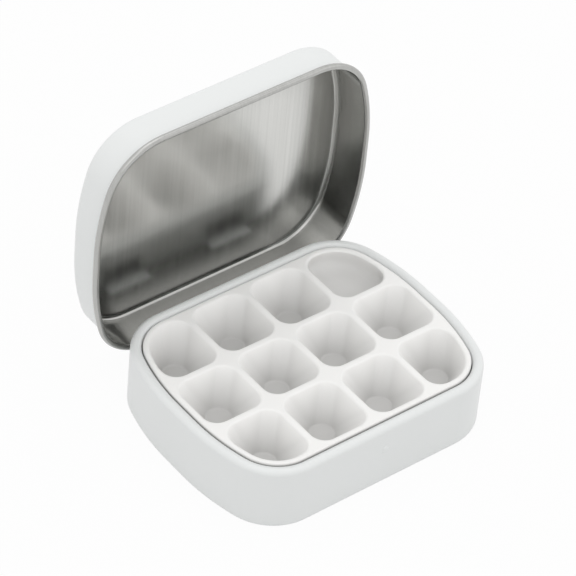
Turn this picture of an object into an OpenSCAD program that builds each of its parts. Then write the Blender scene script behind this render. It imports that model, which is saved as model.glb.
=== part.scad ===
// Pocket watercolour tin: a drawn tinplate base with a hinged slip-over lid,
// and a moulded tray of twelve colour wells that drops into the base.
// Millimetres. Origin: the middle of the base's underside. +Z up, the front faces -Y,
// and the hinge runs along the back. The lid is drawn standing open.

/* [Base tin] */
// Length of the base over the middle of its bowed ends
tin_length = 60; // [54:0.5:80]
// Width of the base from front wall to back wall
tin_width = 48; // [42:0.5:60]
// Height of the base to the top of its rolled rim
base_height = 14; // [12:0.5:20]
// Radius of the base's four upright corners
corner_radius = 10.9; // [9:0.1:13]
// How far each end bows out past its corners
end_bow = 1.5; // [0.8:0.1:1.8]
// Thickness of the tinplate
sheet = 0.25; // [0.2:0.05:0.35]
// Outer radius of the bend between the base's wall and its floor
floor_bend = 0.7; // [0.5:0.1:1.5]
// Outer radius of the rim, which is rolled inwards
rim_radius = 1.1; // [0.8:0.1:1.4]

/* [Lid] */
// Depth of the lid from its open edge to the top of its panel
lid_depth = 8.95; // [7.5:0.05:11]
// Outer radius of the bend between the lid's wall and its panel
panel_bend = 1.4; // [1:0.1:2.5]
// Outer radius of the bead, which is rolled outwards round the lid's edge
bead_radius = 0.625; // [0.5:0.025:0.8]
// Mean gap between the base's wall and the lid's
lid_clearance = 0.4; // [0.35:0.05:0.8]
// How far the lid sits forward, so that its front swings clear of the base's rim
lid_forward = 0.15; // [0.1:0.05:0.2]
// Gap between the base's rim and the inside of the closed lid's panel
lid_seat_gap = 0.05; // [0.02:0.01:0.3]
// Angle that the lid stands open at
open_angle = 90; // [90:1:90]

/* [Hinge] */
// Distance from the middle of the tin to the middle of each hinge tab
hinge_spacing = 12; // [8:0.5:13]
// Width of the tab that is rolled round the lid's bead
tab_width = 8.6; // [5:0.1:9]
// Running clearance between the bead and the tab round it
tab_clearance = 0.12; // [0.08:0.01:0.15]
// Length of sheet that each tab is rolled from, which leaves a slot in the wall
tab_slot = 4.2; // [3:0.1:5]
// Gap between each side of a tab and its window in the lid's wall
window_side_gap = 0.7; // [0.4:0.1:1]
// Height of the window in the lid's wall above the middle of the bead
window_height = 2.2; // [1.5:0.1:3]

/* [Catch] */
// How far the catch dimple stands out of the front wall
dimple_height = 0.18; // [0.1:0.01:0.25]
// Radius of the ball that the dimple is pressed with
dimple_ball = 2; // [1.5:0.1:3]
// Distance from the top of the base down to the middle of the dimple
dimple_drop = 5.4; // [4:0.1:6]

/* [Well tray] */
// Number of wells along the length
columns = 4; // [3:1:4]
// Number of wells from front to back
rows = 3; // [2:1:3]
// Distance between wells along the length
column_pitch = 13.36; // [12:0.01:13.4]
// Distance between wells from front to back
row_pitch = 13.7; // [12:0.01:13.8]
// Width of the web between two wells, where their walls start
web = 1.7; // [1.4:0.1:3]
// Gap between the tray and the base's rolled rim
tray_gap = 0.25; // [0.15:0.05:0.5]
// How far the tray's top lies below the base's rim
tray_drop = 0.3; // [0.1:0.1:1]
// Radius of the tray's outer top edge
tray_edge = 0.6; // [0.3:0.1:0.9]
// Width of deck kept between the outer wells and the tray's edge
deck_margin = 1.6; // [1.2:0.1:2.5]
// Radius of the corners of a well's mouth
mouth_corner = 2.4; // [1.5:0.1:3]
// Radius of the soft lip round a well's mouth
mouth_lip = 0.45; // [0.3:0.05:0.6]
// Depth of a well
well_depth = 6.3; // [5:0.1:8]
// Radius of a well's flat round floor
well_floor = 2.9; // [2:0.1:3.5]
// Radius between a well's wall and its floor
floor_fillet = 0.5; // [0.3:0.1:0.8]
// Depth of the shallow mixing well in the back right corner
mixing_depth = 4; // [3:0.1:5]
// How much the mixing well's floor is smaller than its mouth on each side
mixing_draw = 2.3; // [1.8:0.1:3]
// Wall thickness of the moulded tray
tray_wall = 0.9; // [0.7:0.1:1.2]

/* [Hidden] */
$fn = 96;
sliver = 0.01;
past = 1;

// The outline is a rectangle with round corners and bowed ends. Each end has a short flat middle and
// a long arc on each side of it, which runs smoothly into the corner's arc. The long arcs turn by the
// small angle of a 7, 24, 25 triangle, so all the places where arcs meet are short round numbers.
corner_x = tin_length / 2 - corner_radius - end_bow;
corner_y = tin_width / 2 - corner_radius;
bow_turn = atan2(7, 24);
bow_radius = end_bow * 25;
bow_x = corner_x - bow_radius * 24 / 25;
bow_y = corner_y - bow_radius * 7 / 25;

// The hinge axis is the middle of the lid's bead along the back wall.
lid_edge_z = base_height + lid_seat_gap + sheet - lid_depth;
hinge_z = lid_edge_z + bead_radius;
hinge_y = tin_width / 2 + lid_clearance - lid_forward + bead_radius;
lid_wall_out = lid_clearance + sheet;
tab_bore = bead_radius + tab_clearance;
window_width = tab_width + 2 * window_side_gap;

// The base's wall is swept this far above the ground and set down.
sweep_lift = 5;
strip = 4;
plate_steps = 6;
edge_steps = 8;

tray_inset = 2 * rim_radius + tray_gap;
tray_top = base_height - tray_drop;
lip_steps = [25, 58, 90];
white_coat = [0.93, 0.94, 0.93];
tray_white = [0.95, 0.95, 0.94];

// Points along an arc round centre c. A first of 1 leaves out the point where the last arc ended.
function arc_points(c, r, from, to, steps, first = 0) =
    [for (i = [first : steps]) let (a = from + (to - from) * i / steps) c + r * [cos(a), sin(a)]];

// A quarter of the outline, grown by o, from the +X end round to the back.
function quarter_points(o, steps) = concat(
    arc_points([bow_x, bow_y], bow_radius + corner_radius + o, 0, bow_turn, steps / 2),
    arc_points([corner_x, corner_y], corner_radius + o, bow_turn, 90, steps, 1));

// Its points mirrored to the side that sx and sy give, in the order that goes on round the outline.
function turned(points, sx, sy) =
    [for (i = [0 : len(points) - 1]) let (p = points[sx == sy ? i : len(points) - 1 - i]) [sx * p[0], sy * p[1]]];

function outline_points(o, steps) = let (quarter = quarter_points(o, steps)) concat(
    turned(quarter, 1, 1), turned(quarter, -1, 1), turned(quarter, -1, -1), turned(quarter, 1, -1));

// Carries a wall profile round the outline. The profile's X is 0 on the outline and grows outwards,
// and its Y is the height. A corner and its long arc are turned in one frame, whose X runs through
// the point where they meet, and are trimmed where the straight pieces start.
module round_the_outline() {
    extra = 4;
    for (side = [0, 1]) mirror([0, side, 0])
        translate([-corner_x, 0, 0]) rotate([90, 0, 90]) linear_extrude(2 * corner_x)
            translate([tin_width / 2, 0]) children();
    for (end = [0, 1]) mirror([end, 0, 0])
        translate([tin_length / 2, bow_y, 0]) rotate([90, 0, 0]) linear_extrude(2 * bow_y) children();
    for (end = [0, 1], side = [0, 1]) mirror([end, 0, 0]) mirror([0, side, 0])
        intersection() {
            translate([corner_x, corner_y, 0]) rotate(bow_turn) {
                rotate_extrude(angle = 90 - bow_turn + extra)
                    translate([corner_radius, 0]) children();
                translate([-bow_radius, 0, 0]) rotate_extrude(angle = bow_turn + extra, start = -bow_turn - extra)
                    translate([bow_radius + corner_radius, 0]) children();
            }
            translate([corner_x, bow_y, -tin_width]) cube([tin_length, tin_width, 3 * tin_width]);
        }
}

// Three quarters of a rolled edge round the origin. The missing quarter is between +X and -Y.
module curl(r) {
    difference() {
        circle(r);
        circle(r - sheet);
        translate([0, -r - past]) square([r + past, r + past]);
    }
}

// A quarter bend round the origin, between +X and -Y.
module bend(r) {
    intersection() {
        difference() {
            circle(r);
            circle(r - sheet);
        }
        translate([0, -r]) square([r, r]);
    }
}

// Section of the base's wall: floor strip, bend, wall and rolled rim.
module base_section() {
    translate([-strip, 0]) square([strip - floor_bend, sheet]);
    translate([-floor_bend, floor_bend]) bend(floor_bend);
    translate([-sheet, floor_bend]) square([sheet, base_height - rim_radius - floor_bend]);
    translate([-rim_radius, base_height - rim_radius]) curl(rim_radius);
}

// Section of the closed lid's wall: bead, wall, bend and panel strip.
module lid_section() {
    top = lid_edge_z + lid_depth;
    translate([lid_clearance + bead_radius, hinge_z]) rotate(180) curl(bead_radius);
    translate([lid_clearance, hinge_z]) square([sheet, top - panel_bend - hinge_z]);
    translate([lid_wall_out - panel_bend, top - panel_bend]) mirror([0, 1]) bend(panel_bend);
    translate([lid_wall_out - strip, top - sheet]) square([strip - panel_bend, sheet]);
}

// One hinge tab, cut out of the back wall and rolled round the bead.
module hinge_tab() {
    tip = 80;
    reach = 2 * tab_bore;
    difference() {
        cylinder(r = tab_bore + sheet, h = tab_width, center = true);
        cylinder(r = tab_bore, h = tab_width + past, center = true);
        linear_extrude(tab_width + past, center = true)
            polygon([[0, 0], reach * [cos(tip), sin(tip)], reach * [-1, 1], [-reach, 0]]);
    }
}

module base_tin() color(white_coat) {
    difference() {
        union() {
            translate([0, 0, -sweep_lift]) round_the_outline() translate([0, sweep_lift]) base_section();
            linear_extrude(sheet) polygon(outline_points(-strip / 2, plate_steps));
        }
        for (x = [-hinge_spacing, hinge_spacing])
            translate([x - tab_width / 2, tin_width / 2 - sheet - past, hinge_z])
                cube([tab_width, sheet + 2 * past, tab_slot]);
        translate([0, -tin_width / 2 + dimple_ball - dimple_height, base_height - dimple_drop])
            sphere(dimple_ball - sheet);
    }
    for (x = [-hinge_spacing, hinge_spacing])
        translate([x, hinge_y, hinge_z]) rotate([90, 0, 90]) hinge_tab();
    translate([0, -tin_width / 2 + dimple_ball - dimple_height, base_height - dimple_drop])
        intersection() {
            difference() {
                sphere(dimple_ball);
                sphere(dimple_ball - sheet);
            }
            translate([-dimple_ball, -dimple_ball - past, -dimple_ball])
                cube([2 * dimple_ball, dimple_height + sheet + past, 2 * dimple_ball]);
        }
}

module closed_lid() {
    difference() {
        translate([0, -lid_forward, 0]) union() {
            round_the_outline() lid_section();
            translate([0, 0, lid_edge_z + lid_depth - sheet]) linear_extrude(sheet)
                polygon(outline_points(lid_wall_out - strip / 2, plate_steps));
        }
        for (x = [-hinge_spacing, hinge_spacing])
            translate([x - window_width / 2, hinge_y - bead_radius - past, hinge_z])
                cube([window_width, past + sheet + tab_clearance, window_height]);
    }
}

module lid() color(white_coat)
    translate([0, hinge_y, hinge_z]) rotate([-open_angle, 0, 0])
        translate([0, -hinge_y, -hinge_z]) closed_lid();

// Mouth of the well in a column and row, kept inside the tray's edge, grown by o.
module mouth(column, row, o) {
    size = [column_pitch - web, row_pitch - web];
    offset(r = mouth_corner + o) offset(delta = -mouth_corner) intersection() {
        translate([(column - (columns - 1) / 2) * column_pitch, (row - (rows - 1) / 2) * row_pitch])
            square(size, center = true);
        polygon(outline_points(-tray_inset - deck_margin, edge_steps));
    }
}

module slice(z) translate([0, 0, z]) linear_extrude(sliver) children();

// The space of one well, with its lip. Grown by wall, it is the outside of the cup round it.
module well(column, row, wall) {
    mixing = column == columns - 1 && row == rows - 1;
    floor_z = tray_top - (mixing ? mixing_depth : well_depth) - wall;
    centre = [(column - (columns - 1) / 2) * column_pitch, (row - (rows - 1) / 2) * row_pitch];
    lip_start = mouth_lip * (1 - sin(lip_steps[0]));
    hull() {
        slice(tray_top - lip_start - sliver) mouth(column, row, wall, $fn = 20);
        if (mixing) {
            slice(floor_z) mouth(column, row, wall - mixing_draw, $fn = 20);
            slice(floor_z + mixing_draw * 0.13) mouth(column, row, wall - mixing_draw * 0.5, $fn = 20);
            slice(floor_z + mixing_draw * 0.45) mouth(column, row, wall - mixing_draw * 0.17, $fn = 20);
        } else {
            slice(floor_z) translate(centre) circle(well_floor + wall - floor_fillet, $fn = 20);
            slice(floor_z + floor_fillet * 0.3) translate(centre)
                circle(well_floor + wall - floor_fillet * 0.3, $fn = 20);
            slice(floor_z + floor_fillet) translate(centre) circle(well_floor + wall, $fn = 20);
        }
    }
    if (wall == 0)
        for (i = [1 : len(lip_steps) - 1]) hull() {
            slice(tray_top - mouth_lip * (1 - sin(lip_steps[i - 1])) - sliver)
                mouth(column, row, mouth_lip * (cos(lip_steps[0]) - cos(lip_steps[i - 1])), $fn = 20);
            slice(tray_top - mouth_lip * (1 - sin(lip_steps[i])))
                mouth(column, row, mouth_lip * (cos(lip_steps[0]) - cos(lip_steps[i])), $fn = 20);
        }
}

module well_tray() color(tray_white) difference() {
    hull() {
        translate([0, 0, sheet]) linear_extrude(tray_top - tray_edge - sheet)
            polygon(outline_points(-tray_inset, edge_steps));
        for (a = [30, 60, 90])
            slice(tray_top - tray_edge * (1 - sin(a)) - sliver)
                polygon(outline_points(-tray_inset - tray_edge * (1 - cos(a)), edge_steps));
    }
    difference() {
        translate([0, 0, -past]) linear_extrude(tray_top - tray_wall + past)
            polygon(outline_points(-tray_inset - tray_wall, edge_steps));
        for (column = [0 : columns - 1], row = [0 : rows - 1]) well(column, row, tray_wall);
    }
    for (column = [0 : columns - 1], row = [0 : rows - 1]) well(column, row, 0);
}

base_tin();
lid();
well_tray();
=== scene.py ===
import math

import bpy
from mathutils import Matrix, Vector


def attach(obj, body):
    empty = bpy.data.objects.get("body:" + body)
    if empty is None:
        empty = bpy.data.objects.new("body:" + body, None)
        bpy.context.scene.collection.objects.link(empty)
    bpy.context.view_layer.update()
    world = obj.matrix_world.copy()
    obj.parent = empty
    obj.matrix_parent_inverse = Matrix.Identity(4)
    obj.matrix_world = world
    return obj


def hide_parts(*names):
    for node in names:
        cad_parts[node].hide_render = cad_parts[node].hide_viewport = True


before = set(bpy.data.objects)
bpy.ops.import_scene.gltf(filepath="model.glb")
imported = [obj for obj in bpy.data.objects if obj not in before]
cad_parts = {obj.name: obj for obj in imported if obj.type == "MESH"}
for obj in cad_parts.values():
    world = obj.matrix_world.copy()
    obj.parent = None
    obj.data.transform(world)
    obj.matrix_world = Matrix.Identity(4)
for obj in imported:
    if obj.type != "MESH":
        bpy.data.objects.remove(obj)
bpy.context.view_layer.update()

print("stage: frame loaded")

# Pieces are drawn in millimetres and brought to metres when they are done. The rest is in metres throughout.
hair = 0.001  # for finding points by their place
smoothing = {"shells": 30, "tray": 32, "flatWeight": 60}  # angles in degrees, and the pull of wide faces
metalSide, beadSide = 1, 2  # material slots of the two shells, after the coat's
upright, across, lengthwise = (0, 0, 1), (0, 1, 0), (1, 0, 0)


def editMode(on):
    bpy.ops.object.mode_set(mode="EDIT" if on else "OBJECT")


def activate(piece):
    bpy.ops.object.select_all(action="DESELECT")
    piece.select_set(True)
    bpy.context.view_layer.objects.active = piece


# One point of a new piece, in edit mode, that a profile is drawn from.
def startPoint(name, place):
    bpy.ops.object.select_all(action="DESELECT")
    bpy.ops.mesh.primitive_plane_add(size=1)
    piece = bpy.context.object
    piece.name = piece.data.name = name
    editMode(True)
    bpy.ops.mesh.select_mode(type="VERT")
    bpy.ops.mesh.select_all(action="SELECT")
    bpy.ops.mesh.merge(type="CENTER")
    bpy.ops.transform.translate(value=place)
    return piece


def extrudeBy(x=0.0, y=0.0, z=0.0):
    bpy.ops.mesh.extrude_region_move(TRANSFORM_OT_translate={"value": (x, y, z)})


# Carries what is selected round an axis, by the right-hand rule. Spin itself turns the other way.
def spinBy(degrees, centre, axis, steps):
    bpy.ops.mesh.spin(steps=steps, angle=-math.radians(degrees), center=centre, axis=axis)


def applyModifier(piece, kind, **settings):
    activate(piece)
    modifier = piece.modifiers.new(kind.lower(), kind)
    for name, value in settings.items():
        setattr(modifier, name, value)
    bpy.ops.object.modifier_apply(modifier=modifier.name)


outline = {"length": 60.0, "width": 48.0, "cornerRadius": 10.9, "endBow": 1.5, "cornerSteps": 24,
           "bowSteps": 8}

# The long arcs of the tin's ends turn by the small angle of a 7, 24, 25 triangle.
bowTurn = math.degrees(math.atan2(7, 24))
cornerX = outline["length"] / 2 - outline["cornerRadius"] - outline["endBow"]
cornerY = outline["width"] / 2 - outline["cornerRadius"]
bowX = cornerX - 24 * outline["endBow"]
bowY = cornerY - 7 * outline["endBow"]
bowRadius = 25 * outline["endBow"] + outline["cornerRadius"]


# Takes a profile drawn at the middle of the right end round one quarter, and mirrors it to the others.
def sweepRound(piece):
    bpy.ops.mesh.select_all(action="SELECT")
    extrudeBy(y=bowY)
    spinBy(bowTurn, (bowX, bowY, 0), upright, outline["bowSteps"])
    spinBy(90 - bowTurn, (cornerX, cornerY, 0), upright, outline["cornerSteps"])
    extrudeBy(x=-cornerX)
    editMode(False)
    applyModifier(piece, "MIRROR", use_axis=(True, True, False), merge_threshold=hair)


# Edges with a face on one side only.
def openEdges(piece):
    uses = {}
    for face in piece.data.polygons:
        for key in face.edge_keys:
            uses[key] = uses.get(key, 0) + 1
    return {key for key, count in uses.items() if count == 1}


# Goes to edit mode with the elements that a test picks selected. An edge or face is tested by its points.
def selectBy(piece, kind, test, among=None):
    activate(piece)
    editMode(True)
    bpy.ops.mesh.select_mode(type=kind)
    bpy.ops.mesh.select_all(action="DESELECT")
    editMode(False)
    points = [vertex.co for vertex in piece.data.vertices]
    if kind == "VERT":
        for vertex in piece.data.vertices:
            vertex.select = test([vertex.co])
    elif kind == "EDGE":
        for edge in piece.data.edges:
            edge.select = (among is None or edge.key in among) and test([points[i] for i in edge.vertices])
    else:
        for face in piece.data.polygons:
            face.select = test([points[i] for i in face.vertices])
    editMode(True)


def atHeight(height):
    return lambda points: all(abs(point.z - height) < hair for point in points)


def closeOpening(piece, height):
    selectBy(piece, "EDGE", atHeight(height), openEdges(piece))
    bpy.ops.mesh.edge_face_add()
    editMode(False)


# Makes all faces point out of the piece. The widest face, whose way out is known, shows whether they do.
def pointFacesOut(piece, wayOut):
    activate(piece)
    editMode(True)
    bpy.ops.mesh.select_all(action="SELECT")
    bpy.ops.mesh.normals_make_consistent(inside=False)
    editMode(False)
    widest = max(piece.data.polygons, key=lambda face: face.area)
    if widest.normal.dot(wayOut(widest)) < 0:
        editMode(True)
        bpy.ops.mesh.flip_normals()
        editMode(False)


# Gives a shell its thickness inwards, coated outside and bare inside.
def thicken(shell):
    shell.data.materials.append(whiteCoat)
    shell.data.materials.append(tinPlate)
    applyModifier(shell, "SOLIDIFY", thickness=tin["sheet"], offset=-1, use_even_offset=True,
                  material_offset=metalSide, material_offset_rim=metalSide)


# A block that cuts a slot, with bare metal on the cut.
def addBlock(piece, low, high):
    bpy.ops.object.select_all(action="DESELECT")
    low, high = Vector(low), Vector(high)
    bpy.ops.mesh.primitive_cube_add(size=1, location=(low + high) / 2, scale=high - low)
    block = bpy.context.object
    bpy.ops.object.transform_apply()
    for material in piece.data.materials:
        block.data.materials.append(material)
    for face in block.data.polygons:
        face.material_index = metalSide
    return block


def combine(piece, other, operation):
    applyModifier(piece, "BOOLEAN", object=other, operation=operation, solver="EXACT")
    bpy.data.objects.remove(other)


def moveBy(piece, x=0.0, y=0.0, z=0.0):
    activate(piece)
    bpy.ops.transform.translate(value=(x, y, z))
    bpy.ops.object.transform_apply()


# Smooth where the real surface is, and brought from millimetres to metres.
def finishPiece(piece, smoothAngle):
    activate(piece)
    bpy.ops.object.shade_smooth_by_angle(angle=math.radians(smoothAngle))
    applyModifier(piece, "WEIGHTED_NORMAL", keep_sharp=True, weight=smoothing["flatWeight"])
    bpy.ops.transform.resize(value=(0.001, 0.001, 0.001), center_override=(0, 0, 0))
    bpy.ops.object.transform_apply()


# A socket of a material, which Python's own operators can work on.
class Wire:
    def __init__(self, tree, socket=None):
        self.tree, self.socket = tree, socket

    def add(self, kind, settings=(), inputs=(), output=0):
        node = self.tree.nodes.new(kind)
        for name, value in dict(settings).items():
            setattr(node, name, value)
        for name, value in dict(inputs).items():
            if isinstance(value, Wire):
                self.tree.links.new(value.socket, node.inputs[name])
            else:
                node.inputs[name].default_value = value
        return Wire(self.tree, node.outputs[output])

    def maths(self, operation, first, second):
        return self.add("ShaderNodeMath", {"operation": operation}, {0: first, 1: second})

    def __add__(self, other):
        return self.maths("ADD", self, other)

    def __sub__(self, other):
        return self.maths("SUBTRACT", self, other)

    def __rsub__(self, other):
        return self.maths("SUBTRACT", other, self)

    def __mul__(self, other):
        return self.maths("MULTIPLY", self, other)

    __radd__ = __add__
    __rmul__ = __mul__

    def noise(self, scale, detail=2.0, stretch=(1, 1, 1)):
        place = self.add("ShaderNodeTexCoord", output="Object")
        place = self.add("ShaderNodeMapping", {}, {"Vector": place, "Scale": stretch})
        return self.add("ShaderNodeTexNoise", {}, {"Vector": place, "Scale": scale, "Detail": detail}, "Fac")

    def height(self):
        place = self.add("ShaderNodeTexCoord", output="Object")
        return self.add("ShaderNodeSeparateXYZ", {}, {"Vector": place}, "Z")

    # 1 in the open and 0 in a tight corner: the mask for painted shade in a colour.
    def openness(self, reach):
        return self.add("ShaderNodeAmbientOcclusion", {"samples": 12}, {"Distance": reach}, "AO")

    def blend(self, amount, first, second):
        return self.add("ShaderNodeMix", {"data_type": "RGBA"}, {0: amount, 6: first, 7: second}, 2)

    # 1 where the camera, a reflection or a clear piece sees it, and 0 for its light on other things.
    def seen(self):
        path = self.add("ShaderNodeLightPath", output="Is Camera Ray")
        glossy, clear = (Wire(self.tree, path.socket.node.outputs[name])
                         for name in ("Is Glossy Ray", "Is Transmission Ray"))
        return path + glossy + clear

    def bump(self, height, depth):
        return self.add("ShaderNodeBump", {}, {"Strength": 1.0, "Distance": depth, "Height": height})


def newMaterial(name, constants):
    material = bpy.data.materials.new(name)
    material.use_nodes = True
    shader = material.node_tree.nodes["Principled BSDF"]
    for socket, value in constants.items():
        shader.inputs[socket].default_value = value
    return material, shader, Wire(material.node_tree)


def feed(material, shader, **wires):
    for name, wire in wires.items():
        material.node_tree.links.new(wire.socket, shader.inputs[name.replace("_", " ")])


coat = {"colour": (0.78, 0.795, 0.79, 1), "shade": (0.76, 0.775, 0.77, 1), "roughness": 0.30, "uneven": 0.08,
        "cloudScale": 45.0, "patchScale": 160.0, "peelScale": 900.0, "peelDepth": 0.000004}


def makeCoat():
    material, shader, wire = newMaterial("whiteCoat", {"Specular IOR Level": 0.5, "IOR": 1.5})
    cloud = wire.noise(coat["cloudScale"], 3.0)
    peel = wire.noise(coat["peelScale"])
    feed(material, shader,
         Base_Color=wire.blend(cloud, coat["colour"], coat["shade"]),
         Roughness=coat["roughness"] + coat["uneven"] * wire.noise(coat["patchScale"]),
         Normal=wire.bump(peel, coat["peelDepth"]))
    return material


# The corner colour, laid on where other surfaces are close, and the bead's darker tone are painted shade.
plate = {"bright": (0.76, 0.76, 0.74, 1), "dull": (0.54, 0.54, 0.52, 1), "corner": (0.26, 0.26, 0.25, 1),
         "cornerReach": 0.012, "beadShadeTone": 0.72, "roughness": 0.13, "uneven": 0.14,
         "grainScale": 3600.0, "grainStretch": (1, 0.2, 0.006), "grainDepth": 0.0000025,
         "streakScale": 600.0, "streakStretch": (1, 0.2, 0.01)}


# Bare tinplate, darker by a tone, which on the bead is painted shade, and with painted shade that darkens
# its colour in corners and close to other parts.
def makePlate(name, tone):
    material, shader, wire = newMaterial(name, {"Metallic": 1.0})
    bright, dull = ([tone * part for part in plate[key][:3]] + [1] for key in ("bright", "dull"))
    fine = wire.noise(plate["grainScale"], 1.0, stretch=plate["grainStretch"])
    streak = wire.noise(plate["streakScale"], stretch=plate["streakStretch"])
    feed(material, shader,
         Base_Color=wire.blend(wire.openness(plate["cornerReach"]), plate["corner"],
                               wire.blend(0.5 * fine + 0.5 * streak, dull, bright)),
         Roughness=plate["roughness"] + plate["uneven"] * streak,
         Normal=wire.bump(fine, plate["grainDepth"]))
    return material


# The deep and corner colours are painted shade, down in the wells and in their corners.
moulding = {"colour": (0.90, 0.895, 0.88, 1), "shade": (0.88, 0.875, 0.86, 1),
            "deepShade": (0.57, 0.565, 0.555, 1), "corner": (0.42, 0.415, 0.405, 1), "cornerReach": 0.0045,
            "deepest": 0.0068, "shallowest": 0.0136, "roughness": 0.42, "uneven": 0.1, "cloudScale": 70.0,
            "patchScale": 300.0, "grainScale": 2400.0, "grainDepth": 0.000003}


# White plastic with painted shade: darker down in the wells and in their corners.
def makeMoulding():
    material, shader, wire = newMaterial("trayPlastic", {"IOR": 1.49})
    cloud = wire.noise(moulding["cloudScale"], 3.0)
    grain = wire.noise(moulding["grainScale"])
    span = moulding["shallowest"] - moulding["deepest"]
    level = (wire.height() - moulding["deepest"]) * (1 / span)
    plain = wire.blend(cloud, moulding["colour"], moulding["shade"])
    feed(material, shader,
         Base_Color=wire.blend(wire.openness(moulding["cornerReach"]), moulding["corner"],
                               wire.blend(level, moulding["deepShade"], plain)),
         Roughness=moulding["roughness"] + moulding["uneven"] * wire.noise(moulding["patchScale"]),
         Normal=wire.bump(grain, moulding["grainDepth"]))
    return material


whiteCoat = makeCoat()
tinPlate = makePlate("tinPlate", 1.0)
# The bead takes a darker copy of the tinplate: painted shade.
shadedBeadPlate = makePlate("shadedBeadPlate", plate["beadShadeTone"])
trayPlastic = makeMoulding()
print("stage: materials made")


tin = {"height": 14.0, "sheet": 0.25, "floorBend": 0.7, "rimRadius": 1.1, "floorStrip": 4.0, "bendSteps": 8,
       "rimSteps": 20, "dimpleHeight": 0.172, "dimpleRadius": 0.83, "dimpleDrop": 5.4}
lid = {"depth": 8.95, "panelBend": 1.4, "beadRadius": 0.625, "clearance": 0.4, "forward": 0.15,
       "seatGap": 0.05, "panelStrip": 4.0, "bendSteps": 10, "beadSteps": 16, "openAngle": 90.0}
hinge = {"spacing": 12.0, "tabWidth": 8.6, "clearance": 0.12, "slotLength": 4.2, "rolledAngle": 260.0,
         "rollSteps": 30, "windowSideGap": 0.7, "windowHeight": 2.2, "slotIn": 2.0, "cutPast": 1.0}

# The lid turns about the middle of its bead, so where the closed lid sits gives the hinge's place.
lidEdge = tin["height"] + lid["seatGap"] + tin["sheet"] - lid["depth"]
hingeZ = lidEdge + lid["beadRadius"]
hingeY = outline["width"] / 2 + lid["clearance"] - lid["forward"] + lid["beadRadius"]


# The drawn base: floor, bend, wall and inward rim, then slots and rolled hinge tabs in the back wall.
def makeBase():
    edge = outline["length"] / 2
    straight = tin["height"] - tin["rimRadius"] - tin["floorBend"]
    piece = startPoint("baseTin", (edge - tin["floorStrip"], 0, 0))
    extrudeBy(x=tin["floorStrip"] - tin["floorBend"])
    spinBy(-90, (edge - tin["floorBend"], 0, tin["floorBend"]), across, tin["bendSteps"])
    extrudeBy(z=straight)
    spinBy(-270, (edge - tin["rimRadius"], 0, tin["height"] - tin["rimRadius"]), across, tin["rimSteps"])
    sweepRound(piece)
    closeOpening(piece, 0)
    pointFacesOut(piece, lambda face: Vector((0, 0, -1)))
    thicken(piece)
    back = outline["width"] / 2
    halfTab = hinge["tabWidth"] / 2
    for side in (-1, 1):
        middle = side * hinge["spacing"]
        slot = addBlock(piece, (middle - halfTab, back - hinge["slotIn"], hingeZ),
                        (middle + halfTab, back + hinge["cutPast"], hingeZ + hinge["slotLength"]))
        combine(piece, slot, "DIFFERENCE")
        combine(piece, makeTab(middle), "UNION")
    combine(piece, makeDimple(piece), "UNION")
    finishPiece(piece, smoothing["shells"])
    return piece


# A hinge tab: a strip of the back wall, rolled round the lid's bead.
def makeTab(middle):
    reach = lid["beadRadius"] + hinge["clearance"] + tin["sheet"]
    tab = startPoint("hingeTab", (middle - hinge["tabWidth"] / 2, hingeY - reach, hingeZ))
    spinBy(hinge["rolledAngle"], (0, hingeY, hingeZ), lengthwise, hinge["rollSteps"])
    bpy.ops.mesh.select_all(action="SELECT")
    extrudeBy(x=hinge["tabWidth"])
    editMode(False)
    pointFacesOut(tab, lambda face: face.center - Vector((face.center.x, hingeY, hingeZ)))
    thicken(tab)
    return tab


# The catch: a shallow round dimple pressed out of the front wall.
def makeDimple(piece):
    bpy.ops.object.select_all(action="DESELECT")
    place = (0, -outline["width"] / 2, tin["height"] - tin["dimpleDrop"])
    size = (tin["dimpleRadius"], tin["dimpleHeight"], tin["dimpleRadius"])
    bpy.ops.mesh.primitive_uv_sphere_add(segments=32, ring_count=16, radius=1, location=place)
    dimple = bpy.context.object
    bpy.ops.transform.resize(value=size, center_override=place)
    bpy.ops.object.transform_apply()
    for material in piece.data.materials:
        dimple.data.materials.append(material)
    return dimple


# The slip-over lid, drawn closed and swung open about the middle of its bead.
def makeLid():
    top = lidEdge + lid["depth"]
    wall = outline["length"] / 2 + lid["clearance"] + tin["sheet"]
    bead = outline["length"] / 2 + lid["clearance"] + lid["beadRadius"]
    piece = startPoint("lidShell", (wall - lid["panelStrip"], 0, top))
    extrudeBy(x=lid["panelStrip"] - lid["panelBend"])
    spinBy(90, (wall - lid["panelBend"], 0, top - lid["panelBend"]), across, lid["bendSteps"])
    extrudeBy(z=hingeZ - top + lid["panelBend"])
    spinBy(-270, (bead, 0, hingeZ), across, lid["beadSteps"])
    sweepRound(piece)
    closeOpening(piece, top)
    pointFacesOut(piece, lambda face: Vector((0, 0, 1)))
    thicken(piece)
    # The bead's faces get the darker copy of the tinplate, a painted shade.
    piece.data.materials.append(shadedBeadPlate)
    for face in piece.data.polygons:
        outwards = face.normal.x * face.center.x + face.normal.y * face.center.y > 0
        if (face.material_index == metalSide and face.center.z < hingeZ + lid["beadRadius"] + hair
                and (outwards or face.center.z < hingeZ)):
            face.material_index = beadSide
    moveBy(piece, y=-lid["forward"])
    window = hinge["tabWidth"] / 2 + hinge["windowSideGap"]
    inside = hingeY - lid["beadRadius"]
    for side in (-1, 1):
        middle = side * hinge["spacing"]
        opening = addBlock(piece, (middle - window, inside - hinge["cutPast"], hingeZ),
                           (middle + window, inside + tin["sheet"] + hinge["clearance"],
                            hingeZ + hinge["windowHeight"]))
        combine(piece, opening, "DIFFERENCE")
    activate(piece)
    bpy.ops.transform.rotate(value=math.radians(lid["openAngle"]), orient_axis="X",
                             center_override=(0, hingeY, hingeZ))
    bpy.ops.object.transform_apply()
    finishPiece(piece, smoothing["shells"])
    return piece


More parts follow.
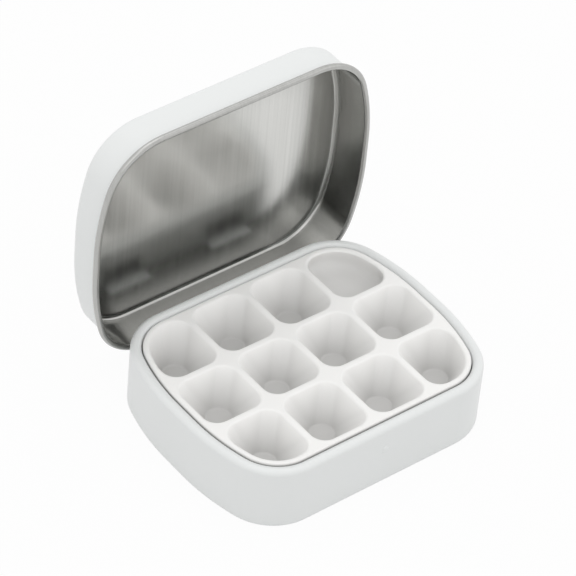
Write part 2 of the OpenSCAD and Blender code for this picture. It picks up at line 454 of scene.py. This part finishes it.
tray = {"columns": 4, "rows": 3, "columnPitch": 13.36, "rowPitch": 13.7, "web": 1.6, "rimGap": 0.12,
        "drop": 0.16, "edge": 0.4, "edgeSteps": 6, "deckMargin": 1.25, "sideReach": 0.4, "frontReach": 0.6,
        "cornerPull": 0.45, "mouthCorner": 3.0, "cornerSteps": 10, "bowCuts": 4, "cornerCuts": 16,
        "shortestEdge": 0.3, "lip": 0.6, "lipSteps": 5, "lipAngle": 25.0, "depth": 6.3, "floorRadius": 2.9,
        "floorFillet": 0.9, "filletAngles": (45, 60, 75, 90), "floorSides": 48, "mixingDepth": 4.0,
        "mixingSquareness": 3.0, "mixingSteps": 18}
trayTop = tin["height"] - tray["drop"]
trayInset = 2 * tin["rimRadius"] + tray["rimGap"]


# Trims the active mouth along the deck's margin, which follows the tin's bowed end and round corner.
def trimMouth(side, end, grow):
    inset = trayInset + tray["deckMargin"] - grow
    arcs = (((bowX, bowY), bowRadius - inset, 0, bowTurn, tray["bowCuts"]),
            ((cornerX, cornerY), outline["cornerRadius"] - inset, bowTurn, 90, tray["cornerCuts"]))
    editMode(True)
    for centre, radius, start, finish, steps in arcs:
        for step in range(1, steps + 1):
            angle = math.radians(start + (finish - start) * step / steps)
            normal = (side * math.cos(angle), end * math.sin(angle), 0)
            place = (side * centre[0] + radius * normal[0], end * centre[1] + radius * normal[1], trayTop)
            bpy.ops.mesh.select_all(action="SELECT")
            bpy.ops.mesh.bisect(plane_co=place, plane_no=normal, clear_outer=True, threshold=hair)
    bpy.ops.mesh.select_all(action="SELECT")
    bpy.ops.mesh.remove_doubles(threshold=tray["shortestEdge"])
    editMode(False)


# The flat mouth of one well at the tray's deck, trimmed where it would pass the deck's margin.
def makeMouth(column, row, grow):
    x = (column - (tray["columns"] - 1) / 2) * tray["columnPitch"]
    y = (row - (tray["rows"] - 1) / 2) * tray["rowPitch"]
    bpy.ops.object.select_all(action="DESELECT")
    bpy.ops.mesh.primitive_plane_add(size=1, location=(x, y, trayTop))
    mouth = bpy.context.object
    size = [tray["columnPitch"] - tray["web"] + 2 * grow, tray["rowPitch"] - tray["web"] + 2 * grow, 1]
    middle = [x, y, trayTop]
    inCorner = column in (0, tray["columns"] - 1) and row in (0, tray["rows"] - 1)
    sideReach = -tray["cornerPull"] if inCorner else tray["sideReach"]
    for axis, place, count, reach in ((0, column, tray["columns"], sideReach),
                                      (1, row, tray["rows"], tray["frontReach"])):
        if place in (0, count - 1):
            size[axis] += reach
            middle[axis] += reach / 2 * (1 if place else -1)
    bpy.ops.transform.resize(value=size, center_override=(x, y, trayTop))
    moveBy(mouth, middle[0] - x, middle[1] - y)
    editMode(True)
    bpy.ops.mesh.select_all(action="SELECT")
    bpy.ops.mesh.bevel(offset=tray["mouthCorner"] + grow, segments=tray["cornerSteps"], affect="VERTICES")
    editMode(False)
    if inCorner:
        trimMouth(-1 if column == 0 else 1, -1 if row == 0 else 1, grow)
    return mouth, (x, y)


# The moulded tray: a skirt with a round edge, a deck, soft lips, and a cup below each mouth.
def makeTray():
    edge = outline["length"] / 2 - trayInset
    piece = startPoint("wellTray", (edge, 0, tin["sheet"]))
    extrudeBy(z=trayTop - tray["edge"] - tin["sheet"])
    spinBy(-90, (edge - tray["edge"], 0, trayTop - tray["edge"]), across, tray["edgeSteps"])
    extrudeBy(x=-tray["edge"] / 2)
    sweepRound(piece)
    closeOpening(piece, tin["sheet"])
    lipAngles = [math.radians(90 + (tray["lipAngle"] - 90) * i / tray["lipSteps"])
                 for i in range(tray["lipSteps"] + 1)]
    grow = tray["lip"] * math.cos(lipAngles[-1])
    centres = {}
    mouths = []
    for column in range(tray["columns"]):
        for row in range(tray["rows"]):
            mouth, centres[column, row] = makeMouth(column, row, grow)
            mouths.append(mouth)
    activate(piece)
    for mouth in mouths:
        mouth.select_set(True)
    bpy.ops.object.join()
    selectBy(piece, "EDGE", atHeight(trayTop), openEdges(piece))
    bpy.ops.mesh.fill(use_beauty=True)
    editMode(False)
    selectBy(piece, "FACE", lambda points: len(points) > 4 and atHeight(trayTop)(points))
    for before, after in zip(lipAngles, lipAngles[1:]):
        bpy.ops.mesh.inset(thickness=tray["lip"] * (math.cos(after) - math.cos(before)), use_individual=True,
                           depth=-tray["lip"] * (math.sin(before) - math.sin(after)))
    editMode(False)
    lipZ = trayTop - tray["lip"] * (1 - math.sin(lipAngles[-1]))
    mixing = (tray["columns"] - 1, tray["rows"] - 1)
    for cell, (x, y) in centres.items():
        if cell == mixing:
            sinkMixingWell(piece, lipZ, x, y)
        else:
            sinkWell(piece, lipZ, x, y)
    pointFacesOut(piece, lambda face: Vector((0, 0, -1)))
    piece.data.materials.append(trayPlastic)
    finishPiece(piece, smoothing["tray"])
    return piece


# True for points that lie in the cell round a well's middle.
def inCell(point, x, y):
    return abs(point.x - x) < tray["columnPitch"] / 2 and abs(point.y - y) < tray["rowPitch"] / 2


# Flat walls that run from the mouth down to a round floor.
def sinkWell(piece, lipZ, x, y):
    floor = trayTop - tray["depth"]
    fillet, radius = tray["floorFillet"], tray["floorRadius"]
    rings = []
    for angle in tray["filletAngles"]:
        turn = math.radians(angle)
        rings.append((floor + fillet * (1 - math.sin(turn)), radius - fillet * (1 - math.cos(turn))))
    activate(piece)
    editMode(True)
    for height, size in rings:
        bpy.ops.mesh.primitive_circle_add(vertices=tray["floorSides"], radius=size, location=(x, y, height))
    editMode(False)
    levels = [lipZ] + [height for height, size in rings]
    selectBy(piece, "VERT", lambda points: inCell(points[0], x, y)
             and any(abs(points[0].z - level) < hair for level in levels))
    bpy.ops.mesh.convex_hull(delete_unused=False, use_existing_faces=False, make_holes=False,
                             join_triangles=False)
    editMode(False)
    selectBy(piece, "FACE", lambda points: atHeight(lipZ)(points) and inCell(points[0], x, y))
    bpy.ops.mesh.delete(type="FACE")
    editMode(False)


# A shallow round-bottomed dish: each ring is the mouth made smaller, down to a small flat middle.
def sinkMixingWell(piece, lipZ, x, y):
    drop = lipZ - (trayTop - tray["mixingDepth"])
    power = 2 / tray["mixingSquareness"]
    angles = [math.pi / 2 * (i + 1) / (tray["mixingSteps"] + 1) for i in range(tray["mixingSteps"])]
    selectBy(piece, "FACE",
             lambda points: len(points) > 4 and atHeight(lipZ)(points) and inCell(points[0], x, y))
    width, depth = 1.0, 0.0
    for angle in angles:
        nextWidth, nextDepth = math.cos(angle) ** power, drop * math.sin(angle) ** power
        extrudeBy(z=depth - nextDepth)
        size = (nextWidth / width, nextWidth / width, 1)
        bpy.ops.transform.resize(value=size, center_override=(x, y, lipZ))
        width, depth = nextWidth, nextDepth
    editMode(False)


baseTin = makeBase()
print("stage: base made")
lidShell = makeLid()
print("stage: lid made")
wellTray = makeTray()
print("stage: tray made")

for piece, node, body, slotName in ((baseTin, "base_tin", "root", "coated_tinplate"),
                                    (lidShell, "lid", "lid", "coated_tinplate"),
                                    (wellTray, "well_tray", "root", "tray_plastic")):
    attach(piece, body)
    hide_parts(node)
    print("stage:", piece.name, "stands for", node, "with", len(piece.data.polygons), "faces")

# Angles are in degrees, the focal length and the frame in pixels and the sensor in millimetres.
camera = {"azimuth": -41.053, "elevation": 42.422, "roll": 5.567, "distance": 0.7118, "focal": 3843.7,
          "frame": 576, "target": (0.001973, 0.009523, 0.021613), "sensor": 36.0, "clipStart": 0.01}


def makeCamera():
    azimuth, elevation, roll = (math.radians(camera[name]) for name in ("azimuth", "elevation", "roll"))
    back = Vector((math.sin(azimuth) * math.cos(elevation), -math.cos(azimuth) * math.cos(elevation),
                   math.sin(elevation)))
    right = Vector((math.cos(azimuth), math.sin(azimuth), 0))
    up = back.cross(right)
    rightRolled = math.cos(roll) * right + math.sin(roll) * up
    upRolled = math.cos(roll) * up - math.sin(roll) * right
    bpy.ops.object.camera_add(location=Vector(camera["target"]) + camera["distance"] * back)
    view = bpy.context.object
    view.rotation_euler = Matrix((rightRolled, upRolled, back)).transposed().to_euler()
    view.data.sensor_width = camera["sensor"]
    view.data.lens = camera["focal"] * camera["sensor"] / camera["frame"]
    view.data.clip_start = camera["clipStart"]
    bpy.context.scene.camera = view


# Each lamp has its place, size and power.
studio = {"floorSize": 6, "floorColour": (0.72, 0.72, 0.72, 1), "floorRoughness": 0.9, "floorGlow": 0.95,
          "ambient": 0.93, "aim": (0, 0, 0.01),
          "lamps": {"keyLamp": ((-0.7, -0.5, 1.1), 0.9, 1.2), "fillLamp": ((0.9, -0.6, 0.7), 0.9, 0.5),
                    "topLamp": ((0.1, 0.2, 1.3), 1.0, 1.9)}}


def addLamp(name, place, size, power):
    bpy.ops.object.light_add(type="AREA", location=place)
    lamp = bpy.context.object
    lamp.name = name
    lamp.rotation_euler = (Vector(place) - Vector(studio["aim"])).to_track_quat("Z", "Y").to_euler()
    lamp.data.shape = "SQUARE"
    lamp.data.size = size
    lamp.data.energy = power


# White to the camera and to reflections, and lit by the lamps for everything else.
def makeFloor():
    bpy.ops.object.select_all(action="DESELECT")
    bpy.ops.mesh.primitive_plane_add(size=studio["floorSize"])
    floor = bpy.context.object
    floor.name = "studioFloor"
    material, shader, wire = newMaterial("studioPaper", {"Base Color": studio["floorColour"],
                                                         "Roughness": studio["floorRoughness"]})
    paper = Wire(wire.tree, shader.outputs[0])
    glow = wire.add("ShaderNodeEmission", {}, {"Color": (1, 1, 1, 1), "Strength": 1.0})
    mixed = wire.add("ShaderNodeMixShader", {}, {0: studio["floorGlow"] * wire.seen(), 1: paper, 2: glow})
    wire.tree.links.new(mixed.socket, wire.tree.nodes["Material Output"].inputs["Surface"])
    floor.data.materials.append(material)


# White to the camera and to reflections, and a little dimmer as light.
def makeSky():
    world = bpy.data.worlds.new("studioWorld")
    world.use_nodes = True
    bpy.context.scene.world = world
    wire = Wire(world.node_tree)
    strength = studio["ambient"] + (1 - studio["ambient"]) * wire.seen()
    sky = wire.tree.nodes["Background"]
    sky.inputs["Color"].default_value = (1, 1, 1, 1)
    wire.tree.links.new(strength.socket, sky.inputs["Strength"])


makeCamera()
makeFloor()
makeSky()
for name, (place, size, power) in studio["lamps"].items():
    addLamp(name, place, size, power)
bpy.context.scene.view_settings.view_transform = "Standard"
print("stage: camera and studio made")
